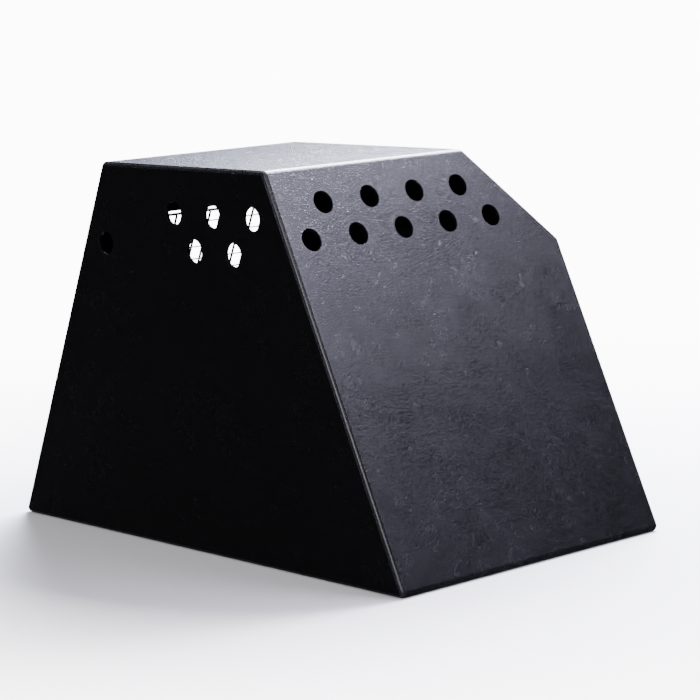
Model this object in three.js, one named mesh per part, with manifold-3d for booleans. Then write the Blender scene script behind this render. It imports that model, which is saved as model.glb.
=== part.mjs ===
// A dog transport box in black plastic sheet, in millimetres, standing on Z = 0 and centred in X and Y.
// One bent sheet makes the closed end, the roof and the door end. A tray with turned-up lips is the
// floor.
// Two side panels close the sides, welded on along their edges, and a wire door fills the door end.
// +X is the closed end, -X the door end, -Y the flat side and +Y the side that slants in under the roof.
import * as THREE from "three";
import { mergeVertices } from "three/addons/utils/BufferGeometryUtils.js";
import Module from "manifold-3d";

const wasm = await Module();
wasm.setup();

// The box
const BOX_LENGTH = 1006;
const BOX_WIDTH = 592;
const BOX_HEIGHT = 646;
const CLOSED_END_LEAN = 291; // how far the closed end leans in from floor to roof
const DOOR_END_LEAN = 288;
const ROOF_WIDTH = 439;
const FAR_WALL_HEIGHT = 482; // above this the far side slants in to the roof
const SHEET = 6;
const SHEET_BEND = 9; // outer radius of the bends in the end sheets
const SLANT_BEND = 14; // outer radius of the bend in the far side
const TRAY_LIP = 36; // height of the floor tray's turned-up lips
const FIT = 0.3; // gap between pieces that touch or are welded

// Vents: "down" is measured from the roof's edge along the sheet, and "first" from the edge that
// each comment names.
const VENT_DIAMETER = 39;
const VENT_PITCH = 100;
const END_VENTS = [ // from the near edge of the closed end
  { down: 62, first: 101, count: 4 },
  { down: 121.5, first: 52, count: 5 },
];
const SIDE_VENTS = [ // from the closed end's foot, on the near side panel
  { down: 78, first: 325, count: 3 },
  { down: 138, first: 375, count: 2 },
  { down: 138, first: 715, count: 1 },
];

// The door opening and the wire door in it
const HEADER = 110.6; // sheet left above the opening, down the slope
const SMALLEST_SILL = 55; // least sheet left below the opening, up the slope
const NEAR_JAMB = 63.5;
const SMALLEST_FAR_JAMB = 36; // beside the opening's top corner, where the far side has slanted in
const OPENING_CORNER = 16;
const DOOR_GAP = 6; // all round, between the door's frame and the opening
const FRAME_WIRE = 5;
const FRAME_BEND = 12;
const MESH_PITCH = 25.4;
const MESH_MARGIN = 19.5; // from the frame's wires to the outermost wires of the mesh
const UPRIGHT_WIRE = 4;
const CROSS_WIRE = 2.5;
const WELD_SINK = 0.3; // how far crossing wires sink into each other
const HARDWARE_CELLS = 3; // hinges and bolts sit in this cell of the mesh from its top and bottom

// Hinge straps
const STRAP_THICKNESS = 1.5;
const STRAP_WIDTH = 16;
const STRAP_REACH = 30; // over the jamb
const STRAP_RIVETS = [9, 21]; // in from the opening's edge
const HINGE_PLAY = 0.8; // round the frame's wire in the fold of a strap

// Slide bolts
const BOLT_DIAMETER = 6;
const BOLT_STROKE = 24;
const BOLT_HEIGHT = 5.5; // bolt's axis above the outer face of the sheet
const BOLT_PLAY = 0.3; // round the bolt in its guides
const PLATE_THICKNESS = 2;
const PLATE_HEIGHT = 46;
const PLATE_MARGIN = 2;
const GUIDE_LENGTH = 10;
const GUIDE_RADIUS = 7;
const STEM_PLAY = 4; // left between the stem and the guides over the whole stroke
const STEM_HEIGHT = 24;
const KNOB_RADIUS = 5.5;
const TIP_SETBACK = 1; // drawn bolt's tip behind the opening's edge
const BOLT_PAST_KEEPER = 3;
const KEEPER_SETBACK = 6; // keeper's edge from the opening's edge
const KEEPER_HEIGHT = 40;
const KEEPER_RIVET_OFFSET = 14;
const KEEPER_PLAY = 0.8;
const BACKPLATE_WIDTH = 20;
const SCREW_DIAMETER = 4;
const SCREW_OFFSET = 18;
const SCREW_HEAD_RADIUS = 4;
const SCREW_HEAD_HEIGHT = 2.4;
const NUT_RADIUS = 4;
const NUT_HEIGHT = 3.2;
const SCREW_END = 1; // thread left past the nut

// Door stops behind the free side of the door
const STOP_TONGUE_WIDTH = 16;
const STOP_MARGIN = 4; // from the opening's edge to the wide part
const STOP_PLAY = 0.8; // between the frame's wire and the tongue

// Rivets
const RIVET_DIAMETER = 4;
const RIVET_HEAD_RADIUS = 4.5;
const RIVET_HEAD_HEIGHT = 2.4;
const RIVET_TAIL_RADIUS = 3.2;
const RIVET_TAIL_HEIGHT = 1.8;

const ARC_STEPS = 3; // each rounded corner becomes twice this many facets
const FINE_STEPS = 7; // the same for small bends and bores
const ROUND_SIDES = 14;
const VENT_SIDES = 28;
const OVERRUN = 40; // how far cutting tools reach past what they cut

const HALF_LENGTH = BOX_LENGTH / 2;
const HALF_WIDTH = BOX_WIDTH / 2;
const SLANT_RATE = (BOX_WIDTH - ROOF_WIDTH) / (BOX_HEIGHT - FAR_WALL_HEIGHT);

const MATERIALS = {
  black_sheet: { color: 0x1b1b20, roughness: 0.5, metalness: 0 },
  weld_rod: { color: 0x222226, roughness: 0.32, metalness: 0 },
  black_wire: { color: 0x1a1a1c, roughness: 0.42, metalness: 0.4 },
  zinc_steel: { color: 0xb4b7ba, roughness: 0.34, metalness: 1 },
  aluminium: { color: 0xc6c8ca, roughness: 0.4, metalness: 1 },
};

const point = (x, y) => new THREE.Vector2(x, y);

// --- Solids ---------------------------------------------------------------------------------------

function solid(geometry) {
  const bare = geometry.clone();
  bare.deleteAttribute("normal");
  bare.deleteAttribute("uv");
  const merged = mergeVertices(bare, 1e-4);
  return new wasm.Manifold(
    new wasm.Mesh({
      numProp: 3,
      vertProperties: new Float32Array(merged.attributes.position.array),
      triVerts: new Uint32Array(merged.index.array),
    }),
  );
}

function geometryOf(made) {
  const { vertProperties, triVerts } = made.getMesh();
  const geometry = new THREE.BufferGeometry();
  geometry.setAttribute("position", new THREE.BufferAttribute(vertProperties, 3));
  geometry.setIndex(new THREE.BufferAttribute(triVerts, 1));
  const faceted = geometry.toNonIndexed();
  faceted.computeVertexNormals();
  return faceted;
}

// An outline's edges moved inwards, each by its own distance; edge i runs from point i to the next one.
function inset(outline, distances) {
  const lines = outline.map((start, i) => {
    const along = outline[(i + 1) % outline.length].clone().sub(start).normalize();
    const inwards = point(-along.y, along.x);
    return { start: start.clone().addScaledVector(inwards, distances[i]), along };
  });
  return lines.map((line, i) => {
    const before = lines.at(i - 1);
    const across = before.along.cross(line.along);
    const run = line.start.clone().sub(before.start).cross(line.along) / across;
    return before.start.clone().addScaledVector(before.along, run);
  });
}

// A counter-clockwise convex outline with every corner rounded.
function roundedShape(outline, radius) {
  const shape = new THREE.Shape();
  outline.forEach((corner, i) => {
    const back = outline.at(i - 1).clone().sub(corner).normalize();
    const on = outline[(i + 1) % outline.length].clone().sub(corner).normalize();
    const half = Math.acos(back.dot(on)) / 2;
    const middle = back.clone().add(on).normalize();
    const centre = corner.clone().addScaledVector(middle, radius / Math.sin(half));
    const start = corner.clone().addScaledVector(back, radius / Math.tan(half)).sub(centre);
    const end = corner.clone().addScaledVector(on, radius / Math.tan(half)).sub(centre);
    shape.absarc(centre.x, centre.y, radius, start.angle(), end.angle(), false);
  });
  return shape;
}

// Moves a shape drawn in X and Y so that it stands in X and Z, its depth running along -Y from "to".
function standUp(geometry, to) {
  return geometry.rotateX(Math.PI / 2).translate(0, to, 0);
}

function prismAlongY(shape, from, to, steps = ARC_STEPS) {
  const options = { depth: to - from, bevelEnabled: false, curveSegments: steps };
  return solid(standUp(new THREE.ExtrudeGeometry(shape, options), to));
}

// The same prism with the edges of both ends rounded; slant shears it in Y above the far wall's height.
function softPrismAlongY(shape, from, to, radius, slant) {
  const geometry = new THREE.ExtrudeGeometry(shape, {
    depth: to - from - 2 * radius,
    bevelThickness: radius,
    bevelSize: radius,
    bevelOffset: -radius,
    bevelSegments: ARC_STEPS + 1,
    curveSegments: ARC_STEPS,
  });
  standUp(geometry, to - radius);
  const shear = new THREE.Matrix4().makeShear(0, 0, 0, 0, 0, -slant);
  shear.setPosition(0, slant * FAR_WALL_HEIGHT, 0);
  return solid(geometry.applyMatrix4(shear));
}

// A shape drawn in Y and Z, running along X.
function prismAlongX(shape, from, to, steps = ARC_STEPS) {
  const options = { depth: to - from, bevelEnabled: false, curveSegments: steps };
  const geometry = new THREE.ExtrudeGeometry(shape, options).translate(0, 0, from);
  const turn = new THREE.Matrix4().makeBasis(
    new THREE.Vector3(0, 1, 0),
    new THREE.Vector3(0, 0, 1),
    new THREE.Vector3(1, 0, 0),
  );
  return solid(geometry.applyMatrix4(turn));
}

// A box between two corners.
function block(low, high) {
  const size = high.map((value, i) => value - low[i]);
  const middle = high.map((value, i) => (value + low[i]) / 2);
  return solid(new THREE.BoxGeometry(...size).translate(...middle));
}

// A cylinder on the Z axis of the plane it is used in.
function post(radius, from, to, x = 0, y = 0, sides = ROUND_SIDES) {
  const geometry = new THREE.CylinderGeometry(radius, radius, to - from, sides);
  return solid(geometry.rotateX(Math.PI / 2).translate(x, y, (from + to) / 2));
}

function cut(from, tools) {
  return tools.reduce((left, tool) => left.subtract(tool), from);
}

function join(pieces) {
  return pieces.reduce((sum, piece) => sum.add(piece));
}

// --- The planes of the two sloping ends ------------------------------------------------------------

// In each plane X runs across, Y up the slope from the foot and Z out of the sheet's outer face.
function endPlane(footX, lean, outwards) {
  const length = Math.hypot(lean, BOX_HEIGHT);
  const up = new THREE.Vector3((-outwards * lean) / length, 0, BOX_HEIGHT / length);
  const out = new THREE.Vector3((outwards * BOX_HEIGHT) / length, 0, lean / length);
  const across = new THREE.Vector3(0, outwards, 0);
  const matrix = new THREE.Matrix4().makeBasis(across, up, out).setPosition(footX, 0, 0);
  return { length, matrix, rise: up.z };
}

const closedEnd = endPlane(HALF_LENGTH, CLOSED_END_LEAN, 1);
const doorEnd = endPlane(-HALF_LENGTH, DOOR_END_LEAN, -1);

// Puts a solid made in an end's plane where it belongs in the box.
function placed(made, plane) {
  return solid(geometryOf(made).applyMatrix4(plane.matrix));
}

// --- The sheets -----------------------------------------------------------------------------------

const SIDE_VIEW = [
  point(-HALF_LENGTH, 0),
  point(HALF_LENGTH, 0),
  point(HALF_LENGTH - CLOSED_END_LEAN, BOX_HEIGHT),
  point(-HALF_LENGTH + DOOR_END_LEAN, BOX_HEIGHT),
];

// The box's outline in side view, drawn in from its outer faces.
function sideShape(inwards, radius) {
  return roundedShape(inset(SIDE_VIEW, [inwards, inwards, inwards, inwards]), radius);
}

function farEdge(height) {
  return HALF_WIDTH - Math.max(0, height - FAR_WALL_HEIGHT) * SLANT_RATE;
}

// Everything between the two sides, with the sides drawn in; it overruns the floor and the roof.
function betweenSides(inwards) {
  const over = BOX_HEIGHT + OVERRUN;
  const endView = [
    point(-HALF_WIDTH, -OVERRUN),
    point(HALF_WIDTH, -OVERRUN),
    point(HALF_WIDTH, FAR_WALL_HEIGHT),
    point(farEdge(over), over),
    point(-HALF_WIDTH, over),
  ];
  const drawnIn = inset(endView, [0, inwards, inwards, 0, inwards]);
  const shape = roundedShape(drawnIn, SLANT_BEND - inwards);
  return prismAlongX(shape, -HALF_LENGTH - OVERRUN, HALF_LENGTH + OVERRUN);
}

// The tube of sheet that runs round the box: floor, closed end, roof and door end.
function ringOfSheet() {
  const outside = prismAlongY(sideShape(0, SHEET_BEND), -HALF_WIDTH - OVERRUN, HALF_WIDTH + OVERRUN);
  const inside = prismAlongY(
    sideShape(SHEET, SHEET_BEND - SHEET),
    -HALF_WIDTH - 2 * OVERRUN,
    HALF_WIDTH + 2 * OVERRUN,
  );
  return outside.subtract(inside).intersect(betweenSides(SHEET + FIT));
}

function slab(from, to) {
  const x = HALF_LENGTH + OVERRUN;
  const y = HALF_WIDTH + OVERRUN;
  return block([-x, -y, from], [x, y, to]);
}

function ventTools(rows, toolOf) {
  return rows.flatMap(({ down, first, count }) =>
    Array.from({ length: count }, (_, i) => toolOf(first + i * VENT_PITCH, down)),
  );
}

function endVentTool(fromNearEdge, down) {
  const tool = post(
    VENT_DIAMETER / 2,
    -OVERRUN,
    OVERRUN,
    fromNearEdge - HALF_WIDTH,
    closedEnd.length - down,
    VENT_SIDES,
  );
  return placed(tool, closedEnd);
}

function sideVentTool(fromFoot, down) {
  const tool = new THREE.CylinderGeometry(VENT_DIAMETER / 2, VENT_DIAMETER / 2, 2 * OVERRUN, VENT_SIDES);
  return solid(tool.translate(HALF_LENGTH - fromFoot, -HALF_WIDTH, BOX_HEIGHT - down));
}

// --- The door opening, in the door end's plane ------------------------------------------------------

const openingTop = doorEnd.length - HEADER;
const openingRight = HALF_WIDTH - NEAR_JAMB;
const widestOpening = openingRight + farEdge(openingTop * doorEnd.rise) - SMALLEST_FAR_JAMB;

// As many whole mesh cells as fit in an opening of this size.
function wholeCells(space) {
  return Math.floor((space - 2 * (DOOR_GAP + MESH_MARGIN) - FRAME_WIRE) / MESH_PITCH);
}

const meshColumns = wholeCells(widestOpening);
const meshRows = wholeCells(openingTop - SMALLEST_SILL);

// Centre lines of the door's frame
const frame = {
  right: openingRight - DOOR_GAP - FRAME_WIRE / 2,
  top: openingTop - DOOR_GAP - FRAME_WIRE / 2,
};
frame.left = frame.right - meshColumns * MESH_PITCH - 2 * MESH_MARGIN;
frame.bottom = frame.top - meshRows * MESH_PITCH - 2 * MESH_MARGIN;
frame.depth = -SHEET / 2;

const opening = {
  left: frame.left - FRAME_WIRE / 2 - DOOR_GAP,
  right: openingRight,
  bottom: frame.bottom - FRAME_WIRE / 2 - DOOR_GAP,
  top: openingTop,
};
const hardwareOffset = MESH_MARGIN + (HARDWARE_CELLS - 0.5) * MESH_PITCH;
const hardwareHeights = {
  lower: frame.bottom + hardwareOffset,
  upper: frame.top - hardwareOffset,
};

function rectangle({ left, right, bottom, top }) {
  return [point(left, bottom), point(right, bottom), point(right, top), point(left, top)];
}

function openingTool() {
  const shape = roundedShape(rectangle(opening), OPENING_CORNER);
  const options = { depth: 2 * OVERRUN, bevelEnabled: false, curveSegments: ARC_STEPS };
  return placed(solid(new THREE.ExtrudeGeometry(shape, options).translate(0, 0, -OVERRUN)), doorEnd);
}

const keeperWidth = BOLT_STROKE - TIP_SETBACK - BOLT_PAST_KEEPER - KEEPER_SETBACK;
const keeperMiddle = opening.right + KEEPER_SETBACK + keeperWidth / 2;

// Where rivets go through the sheet round the opening, in the door end's plane.
function rivetPlaces(height) {
  const strap = STRAP_RIVETS.map((distance) => ({ x: opening.left - distance, y: height }));
  const keeper = [-1, 1].map((side) => ({ x: keeperMiddle, y: height + side * KEEPER_RIVET_OFFSET }));
  return { strap, keeper };
}

const rivetHole = ({ x, y }) => post(RIVET_DIAMETER / 2 + FIT, -OVERRUN, OVERRUN, x, y);

function allRivetHoles() {
  return Object.values(hardwareHeights).flatMap((height) => {
    const { strap, keeper } = rivetPlaces(height);
    return [...strap, ...keeper].map((place) => placed(rivetHole(place), doorEnd));
  });
}

function floorTray() {
  return ringOfSheet().intersect(slab(-OVERRUN, TRAY_LIP));
}

function endAndRoofSheet() {
  const upper = ringOfSheet().intersect(slab(TRAY_LIP + FIT, BOX_HEIGHT + OVERRUN));
  return cut(upper, [openingTool(), ...ventTools(END_VENTS, endVentTool), ...allRivetHoles()]);
}

const nearHalf = () => block([-HALF_LENGTH, -HALF_WIDTH, 0], [HALF_LENGTH, -SHEET, BOX_HEIGHT]);

function sidePanels() {
  const outline = sideShape(SHEET, SHEET_BEND - SHEET);
  const panels = prismAlongY(outline, -HALF_WIDTH - OVERRUN, HALF_WIDTH + OVERRUN)
    .intersect(betweenSides(0))
    .subtract(betweenSides(SHEET));
  const near = cut(panels.intersect(nearHalf()), ventTools(SIDE_VENTS, sideVentTool));
  return { near, far: panels.subtract(nearHalf()) };
}

// The weld fills the open corner all round each side panel, with a rounded face.
function sideWelds() {
  const outline = sideShape(0, SHEET_BEND);
  const rounding = SHEET - FIT;
  const filled = softPrismAlongY(outline, -HALF_WIDTH, HALF_WIDTH, rounding, 0)
    .intersect(softPrismAlongY(outline, -HALF_WIDTH - 2 * BOX_HEIGHT, HALF_WIDTH, rounding, SLANT_RATE))
    .intersect(betweenSides(0));
  const panelAndGap = sideShape(SHEET - FIT, SHEET_BEND - SHEET + FIT);
  const welds = filled
    .subtract(betweenSides(SHEET))
    .subtract(prismAlongY(panelAndGap, -HALF_WIDTH - OVERRUN, HALF_WIDTH + OVERRUN));
  return { near: welds.intersect(nearHalf()), far: welds.subtract(nearHalf()) };
}

// --- The wire door ----------------------------------------------------------------------------------

function rod(from, to, radius, sides = ROUND_SIDES) {
  const start = new THREE.Vector3(...from);
  const end = new THREE.Vector3(...to);
  const geometry = new THREE.CylinderGeometry(radius, radius, start.distanceTo(end), sides);
  const turn = new THREE.Quaternion().setFromUnitVectors(
    new THREE.Vector3(0, 1, 0),
    end.clone().sub(start).normalize(),
  );
  geometry.applyQuaternion(turn);
  return solid(geometry.translate(...start.add(end).multiplyScalar(0.5).toArray()));
}

// A quarter bend of wire from one point to another, round the corner between them.
function wireBend(from, corner, to, radius) {
  const path = new THREE.QuadraticBezierCurve3(from, corner, to);
  const section = new THREE.Shape().absarc(0, 0, radius, 0, 2 * Math.PI, false);
  const options = { steps: 2 * ARC_STEPS, extrudePath: path, curveSegments: ROUND_SIDES / 2 };
  return solid(new THREE.ExtrudeGeometry(section, options));
}

function doorFrame() {
  const corners = rectangle(frame).map(({ x, y }) => new THREE.Vector3(x, y, frame.depth));
  const pieces = corners.flatMap((corner, i) => {
    const before = corners.at(i - 1).clone().sub(corner).normalize();
    const after = corners[(i + 1) % 4].clone().sub(corner).normalize();
    const start = corner.clone().addScaledVector(before, FRAME_BEND);
    const end = corner.clone().addScaledVector(after, FRAME_BEND);
    const next = corners[(i + 1) % 4].clone().addScaledVector(after, -FRAME_BEND);
    const lapStart = end.clone().addScaledVector(after, -FIT);
    const lapEnd = next.clone().addScaledVector(after, FIT);
    return [
      wireBend(start, corner, end, FRAME_WIRE / 2),
      rod(lapStart.toArray(), lapEnd.toArray(), FRAME_WIRE / 2),
    ];
  });
  return join(pieces);
}

// Cross wires lie on the inner side of the frame, and the uprights on the outer side of the cross wires.
const crossDepth = frame.depth - FRAME_WIRE / 2 - FIT - CROSS_WIRE / 2;
const uprightDepth = crossDepth + CROSS_WIRE / 2 + UPRIGHT_WIRE / 2 - WELD_SINK;

function doorMesh() {
  const flatToFlat = (width, sides) => width / 2 / Math.cos(Math.PI / sides);
  const middle = (frame.top + frame.bottom) / 2;
  const uprights = Array.from({ length: meshColumns + 1 }, (_, i) => {
    const geometry = new THREE.CylinderGeometry(
      flatToFlat(UPRIGHT_WIRE, 6),
      flatToFlat(UPRIGHT_WIRE, 6),
      frame.top - frame.bottom - FRAME_WIRE - 2 * FIT,
      6,
    ).rotateY(Math.PI / 6);
    const x = frame.left + MESH_MARGIN + i * MESH_PITCH;
    return solid(geometry.translate(x, middle, uprightDepth));
  });
  const crossWires = Array.from({ length: meshRows + 1 }, (_, i) => {
    const y = frame.bottom + MESH_MARGIN + i * MESH_PITCH;
    const half = CROSS_WIRE / 2;
    return block([frame.left, y - half, crossDepth - half], [frame.right, y + half, crossDepth + half]);
  });
  return join([...uprights, ...crossWires]);
}

// --- Hinges, bolts and stops -------------------------------------------------------------------------

const plateBottom = uprightDepth + UPRIGHT_WIRE / 2 + FIT;
const plateTop = plateBottom + PLATE_THICKNESS;
const backplateTop = crossDepth - CROSS_WIRE / 2 - FIT;
const backplateBottom = backplateTop - PLATE_THICKNESS;
const nutTop = backplateBottom - FIT;
const plateRight = frame.right - FRAME_WIRE / 2 - PLATE_MARGIN;
const stemSpace = BOLT_DIAMETER + BOLT_STROKE + STEM_PLAY;
const outerGuide = plateRight - PLATE_MARGIN - GUIDE_LENGTH;
const innerGuide = outerGuide - stemSpace - GUIDE_LENGTH;
const screwPlace = frame.right - MESH_MARGIN - 0.5 * MESH_PITCH; // in the middle of a mesh cell

// A strap folded round the door's frame wire, with a leaf on each face of the sheet. Between the fold
// and the opening's edge each leaf steps to the height of the sheet's face.
function hingeStrap(height) {
  const fold = FRAME_WIRE / 2 + HINGE_PLAY;
  const leaf = SHEET / 2 + FIT;
  const thick = STRAP_THICKNESS;
  const end = opening.left - STRAP_REACH;
  const shape = new THREE.Shape();
  shape.moveTo(end, frame.depth - leaf - thick);
  shape.lineTo(opening.left, frame.depth - leaf - thick);
  shape.absarc(frame.left, frame.depth, fold + thick, -Math.PI / 2, Math.PI / 2, false);
  shape.lineTo(opening.left, frame.depth + leaf + thick);
  shape.lineTo(end, frame.depth + leaf + thick);
  shape.lineTo(end, frame.depth + leaf);
  shape.lineTo(opening.left, frame.depth + leaf);
  shape.absarc(frame.left, frame.depth, fold, Math.PI / 2, -Math.PI / 2, true);
  shape.lineTo(opening.left, frame.depth - leaf);
  shape.lineTo(end, frame.depth - leaf);
  const strap = prismAlongY(shape, height - STRAP_WIDTH / 2, height + STRAP_WIDTH / 2, FINE_STEPS);
  return cut(strap, rivetPlaces(height).strap.map(rivetHole));
}

// A turned piece on the plane's Z axis, from pairs of radius and height listed upwards.
function turned(profile, { x, y }) {
  const points = profile.map(([radius, height]) => point(radius, height));
  return solid(new THREE.LatheGeometry(points, ROUND_SIDES).rotateX(Math.PI / 2).translate(x, y, 0));
}

function rivet(place, headSeat, tailSeat) {
  const shank = RIVET_DIAMETER / 2;
  return turned(
    [
      [0, tailSeat - RIVET_TAIL_HEIGHT],
      [RIVET_TAIL_RADIUS * 0.7, tailSeat - RIVET_TAIL_HEIGHT],
      [RIVET_TAIL_RADIUS, tailSeat - RIVET_TAIL_HEIGHT / 2],
      [RIVET_TAIL_RADIUS, tailSeat],
      [shank, tailSeat],
      [shank, headSeat],
      [RIVET_HEAD_RADIUS, headSeat],
      [RIVET_HEAD_RADIUS * 0.9, headSeat + RIVET_HEAD_HEIGHT / 2],
      [RIVET_HEAD_RADIUS * 0.5, headSeat + RIVET_HEAD_HEIGHT],
      [0, headSeat + RIVET_HEAD_HEIGHT],
    ],
    place,
  );
}

// A strap over the bolt's path, with a foot on each side.
function keeper(height) {
  const arch = BOLT_DIAMETER / 2 + KEEPER_PLAY;
  const foot = FIT + PLATE_THICKNESS;
  const shape = new THREE.Shape();
  shape.moveTo(-KEEPER_HEIGHT / 2, FIT);
  shape.lineTo(-arch, FIT);
  shape.absarc(0, BOLT_HEIGHT, arch, Math.PI, 0, true);
  shape.lineTo(arch, FIT);
  shape.lineTo(KEEPER_HEIGHT / 2, FIT);
  shape.lineTo(KEEPER_HEIGHT / 2, foot);
  shape.lineTo(arch + PLATE_THICKNESS, foot);
  shape.absarc(0, BOLT_HEIGHT, arch + PLATE_THICKNESS, 0, Math.PI, false);
  shape.lineTo(-arch - PLATE_THICKNESS, foot);
  shape.lineTo(-KEEPER_HEIGHT / 2, foot);
  const [left, right] = [keeperMiddle - keeperWidth / 2, keeperMiddle + keeperWidth / 2];
  const strap = prismAlongX(shape, left, right, FINE_STEPS);
  return cut(strap.translate(0, height, 0), rivetPlaces(height).keeper.map(rivetHole));
}

// A tab on the inner face of the sheet whose tongue steps to stand just behind the frame's wire.
function doorStop(height) {
  const top = -SHEET - FIT;
  const bottom = top - PLATE_THICKNESS;
  const right = keeperMiddle + keeperWidth / 2 + PLATE_MARGIN;
  const base = block(
    [opening.right + STOP_MARGIN, height - KEEPER_HEIGHT / 2, bottom],
    [right, height + KEEPER_HEIGHT / 2, top],
  );
  const inside = frame.right - FRAME_WIRE / 2;
  const outside = frame.right + FRAME_WIRE / 2;
  const tip = frame.depth - FRAME_WIRE / 2 - STOP_PLAY;
  const outline = new THREE.Shape([
    point(inside, tip - PLATE_THICKNESS),
    point(outside, tip - PLATE_THICKNESS),
    point(opening.right, bottom),
    point(right - PLATE_MARGIN, bottom),
    point(right - PLATE_MARGIN, top),
    point(opening.right, top),
    point(outside, tip),
    point(inside, tip),
  ]);
  const tongue = prismAlongY(outline, height - STOP_TONGUE_WIDTH / 2, height + STOP_TONGUE_WIDTH / 2);
  return cut(base.add(tongue), rivetPlaces(height).keeper.map(rivetHole));
}


function screwPlaces(height) {
  return [-1, 1].map((side) => ({ x: screwPlace, y: height + side * SCREW_OFFSET }));
}

const screwHole = ({ x, y }) => post(SCREW_DIAMETER / 2 + FIT, -OVERRUN, OVERRUN, x, y);

function guide(from) {
  const shape = new THREE.Shape();
  shape.moveTo(-GUIDE_RADIUS, plateBottom);
  shape.lineTo(GUIDE_RADIUS, plateBottom);
  shape.absarc(0, BOLT_HEIGHT, GUIDE_RADIUS, 0, Math.PI, false);
  const bore = BOLT_DIAMETER / 2 + BOLT_PLAY;
  shape.holes.push(new THREE.Path().absarc(0, BOLT_HEIGHT, bore, 0, 2 * Math.PI, true));
  return prismAlongX(shape, from, from + GUIDE_LENGTH, FINE_STEPS);
}

function boltPlate(height) {
  const plate = block(
    [innerGuide - PLATE_MARGIN, -PLATE_HEIGHT / 2, plateBottom],
    [plateRight, PLATE_HEIGHT / 2, plateTop],
  );
  const pressed = join([plate, guide(innerGuide), guide(outerGuide)]).translate(0, height, 0);
  return cut(pressed, screwPlaces(height).map(screwHole));
}

function backplate(height) {
  const plate = block(
    [screwPlace - BACKPLATE_WIDTH / 2, height - PLATE_HEIGHT / 2, backplateBottom],
    [screwPlace + BACKPLATE_WIDTH / 2, height + PLATE_HEIGHT / 2, backplateTop],
  );
  return cut(plate, screwPlaces(height).map(screwHole));
}

// The bolt is drawn back; its stem stands near the inner guide.
function bolt(height) {
  const radius = BOLT_DIAMETER / 2;
  const tail = innerGuide - PLATE_MARGIN - BOLT_STROKE;
  const stem = innerGuide + GUIDE_LENGTH + STEM_PLAY / 2 + radius;
  const knob = new THREE.SphereGeometry(KNOB_RADIUS, ROUND_SIDES, ROUND_SIDES / 2);
  return join([
    rod([tail, height, BOLT_HEIGHT], [opening.right - TIP_SETBACK, height, BOLT_HEIGHT], radius),
    rod([stem, height, BOLT_HEIGHT], [stem, height, BOLT_HEIGHT + STEM_HEIGHT], radius * 0.8),
    solid(knob.translate(stem, height, BOLT_HEIGHT + STEM_HEIGHT)),
  ]);
}

function screw(place) {
  const shank = SCREW_DIAMETER / 2;
  const seat = plateTop + FIT;
  return turned(
    [
      [0, nutTop - NUT_HEIGHT - SCREW_END],
      [shank, nutTop - NUT_HEIGHT - SCREW_END],
      [shank, seat],
      [SCREW_HEAD_RADIUS, seat],
      [SCREW_HEAD_RADIUS, seat + SCREW_HEAD_HEIGHT / 2],
      [SCREW_HEAD_RADIUS * 0.6, seat + SCREW_HEAD_HEIGHT],
      [0, seat + SCREW_HEAD_HEIGHT],
    ],
    place,
  );
}

function nut(place) {
  const body = post(NUT_RADIUS, nutTop - NUT_HEIGHT, nutTop, place.x, place.y, 6);
  return body.subtract(screwHole(place));
}

// --- The assembly -------------------------------------------------------------------------------------

function piece(name, material, made) {
  const mesh = new THREE.Mesh(geometryOf(made), new THREE.MeshStandardMaterial(MATERIALS[material]));
  mesh.name = name;
  return mesh;
}

function shell() {
  const group = new THREE.Group();
  const panels = sidePanels();
  const welds = sideWelds();
  group.add(
    piece("end_and_roof_sheet", "black_sheet", endAndRoofSheet()),
    piece("floor_tray", "black_sheet", floorTray()),
    piece("near_side_panel", "black_sheet", panels.near),
    piece("far_side_panel", "black_sheet", panels.far),
    piece("near_side_weld", "weld_rod", welds.near),
    piece("far_side_weld", "weld_rod", welds.far),
  );
  return group;
}

function jambHardware(level, height) {
  const group = new THREE.Group();
  const places = rivetPlaces(height);
  const outerLeaf = frame.depth + SHEET / 2 + 2 * FIT + STRAP_THICKNESS;
  const innerLeaf = frame.depth - SHEET / 2 - 2 * FIT - STRAP_THICKNESS;
  group.add(
    piece(`${level}_hinge_strap`, "zinc_steel", hingeStrap(height)),
    piece(`${level}_keeper`, "zinc_steel", keeper(height)),
    piece(`${level}_door_stop`, "zinc_steel", doorStop(height)),
    ...places.strap.map((place, i) =>
      piece(`${level}_hinge_rivet_${i + 1}`, "aluminium", rivet(place, outerLeaf, innerLeaf)),
    ),
    ...places.keeper.map((place, i) =>
      piece(
        `${level}_keeper_rivet_${i + 1}`,
        "aluminium",
        rivet(place, 2 * FIT + PLATE_THICKNESS, -SHEET - 2 * FIT - PLATE_THICKNESS),
      ),
    ),
  );
  return group;
}

function doorHardware(level, height) {
  const group = new THREE.Group();
  const screws = screwPlaces(height);
  group.add(
    piece(`${level}_bolt_plate`, "zinc_steel", boltPlate(height)),
    piece(`${level}_bolt_backplate`, "zinc_steel", backplate(height)),
    piece(`${level}_bolt`, "zinc_steel", bolt(height)),
    ...screws.map((place, i) => piece(`${level}_bolt_screw_${i + 1}`, "zinc_steel", screw(place))),
    ...screws.map((place, i) => piece(`${level}_bolt_nut_${i + 1}`, "zinc_steel", nut(place))),
  );
  return group;
}

function doorEndAssembly() {
  const group = new THREE.Group();
  group.add(
    piece("door_frame", "black_wire", doorFrame()),
    piece("door_mesh", "black_wire", doorMesh()),
  );
  for (const [level, height] of Object.entries(hardwareHeights)) {
    group.add(jambHardware(level, height), doorHardware(level, height));
  }
  group.applyMatrix4(doorEnd.matrix);
  return group;
}

const box = new THREE.Group();
box.name = "dog_transport_box";
box.add(shell(), doorEndAssembly());

export default box;
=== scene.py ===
# %% [markdown]
# # A dog transport box in black plastic sheet
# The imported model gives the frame: its pieces, bodies and joints. This script keeps every size and joint as it is
# and gives the pieces their looks. All lengths are in metres. +X is the closed end, -X the door end, -Y the
# upright side with vents, and +Y the side that slants in under the roof.

# %% Load the frame
import math

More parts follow.
